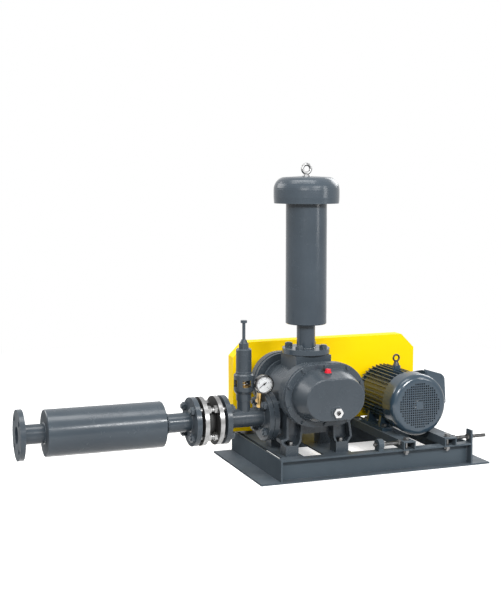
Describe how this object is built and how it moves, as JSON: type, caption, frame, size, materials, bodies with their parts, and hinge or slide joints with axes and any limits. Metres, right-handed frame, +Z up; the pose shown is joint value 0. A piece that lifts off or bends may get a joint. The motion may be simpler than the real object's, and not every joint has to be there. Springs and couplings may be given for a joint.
{
  "type": "roots blower package",
  "caption": "Belt-driven lobe blower on a skid with electric motor, inlet silencer, relief valve, rubber joint and discharge silencer.",
  "frame": {"origin": "underside of the skid's front rail, at mid length of the skid", "axes": "+X along the skid towards the motor, -Y towards the gear cover and fan cowl side, +Z up"},
  "size_m": [1.58, 0.562, 1.0164],
  "materials": {
    "paint": "satin",
    "steel": "machined",
    "dark_steel": "blackened",
    "zinc": "zinc plated",
    "chrome": "polished",
    "red_plastic": "moulded",
    "black_plastic": "moulded",
    "dial_white": "printed",
    "filter_media": "felt",
    "clear_glass": "clear",
    "gasket": "pressed",
    "rubber": "moulded",
    "brass": "machined",
    "yellow": "powder coated"
  },
  "bodies": {
    "skid": {"front_rail": "paint", "rear_rail": "paint", "left_end_angle": "paint", "right_end_angle": "paint", "cross_channels": "paint", "tension_lugs": "paint", "rotor_casing": "paint", "gear_side_plate": "paint", "drive_side_plate": "paint", "gear_cover": "paint", "bearing_cover": "paint", "rotor_bearings": "steel", "casing_screws": "dark_steel", "foot_bolts": "zinc", "oil_sight_glass": "chrome", "sight_glass_lens": "clear_glass", "oil_filler_plugs": "red_plastic", "inlet_silencer": "paint", "inlet_cap": "paint", "inlet_filter": "filter_media", "lifting_eye": "zinc", "port_gaskets": "gasket", "flange_bolts": "zinc", "discharge_tee": "paint", "relief_body": "paint", "relief_bonnet": "paint", "relief_spring": "steel", "relief_lock_nut": "paint", "gauge_cock": "brass", "gauge_case": "zinc", "gauge_dial": "dial_white", "gauge_lens": "clear_glass", "flex_rubber": "rubber", "flex_rings": "zinc", "discharge_silencer": "paint", "tension_nuts": "zinc", "v_belts": "rubber", "belt_guard": "yellow"},
    "motor_carriage": {"motor_frame": "paint", "motor_end_shields": "paint", "fan_cowl": "paint", "terminal_box": "paint", "motor_eyebolt": "dark_steel", "motor_beams": "paint", "motor_bolts": "zinc", "clamp_bolts": "zinc", "tension_rods": "zinc"},
    "motor_shaft": {"motor_rotor": "steel", "motor_fan": "black_plastic", "motor_pulley": "dark_steel"},
    "drive_shaft": {"drive_rotor": "steel", "drive_timing_gear": "steel", "blower_pulley": "dark_steel"},
    "driven_shaft": {"driven_rotor": "steel", "driven_timing_gear": "steel"},
    "valve_disc": {"relief_disc": "brass"},
    "valve_spindle": {"relief_spindle": "steel"},
    "gauge_pointer": {"gauge_needle": "black_plastic"},
    "cock_lever": {"cock_handle": "brass"}
  },
  "joints": [
    {"name": "motor_slide", "type": "slide", "parent": "skid", "child": "motor_carriage", "axis": [1, 0, 0], "range_m": [-0.01, 0.01], "deforming": ["v_belts"]},
    {"name": "motor_spin", "type": "hinge", "parent": "motor_carriage", "child": "motor_shaft", "pos_m": [0.183, 0.2, 0.202], "axis": [0, 1, 0], "continuous": true},
    {"name": "drive_spin", "type": "hinge", "parent": "skid", "child": "drive_shaft", "pos_m": [-0.25, 0.2, 0.28], "axis": [0, 1, 0], "continuous": true},
    {"name": "driven_spin", "type": "hinge", "parent": "skid", "child": "driven_shaft", "pos_m": [-0.17, 0.2, 0.28], "axis": [0, 1, 0], "continuous": true},
    {"name": "valve_lift", "type": "slide", "parent": "skid", "child": "valve_disc", "axis": [0, 0, 1], "range_m": [0, 0.008], "stiffness_N_per_m": 4000, "springref_m": -0.006, "deforming": ["relief_spring"]},
    {"name": "spindle_turn", "type": "hinge", "parent": "skid", "child": "valve_spindle", "pos_m": [-0.429, 0.107, 0.418], "axis": [0, 0, 1], "range_deg": [-720, 720]},
    {"name": "pointer_turn", "type": "hinge", "parent": "skid", "child": "gauge_pointer", "pos_m": [-0.36893, 0.078, 0.3031], "axis": [0, 1, 0], "range_deg": [0, 270], "stiffness_Nm_per_rad": 0.0004},
    {"name": "cock_turn", "type": "hinge", "parent": "skid", "child": "cock_lever", "pos_m": [-0.37762, 0.111, 0.24306], "axis": [0, 1, 0], "range_deg": [-90, 0]}
  ],
  "couplings": [
    {"joint": "drive_spin", "follows": "motor_spin", "ratio": 0.78947},
    {"joint": "driven_spin", "follows": "motor_spin", "ratio": -0.78947}
  ]
}
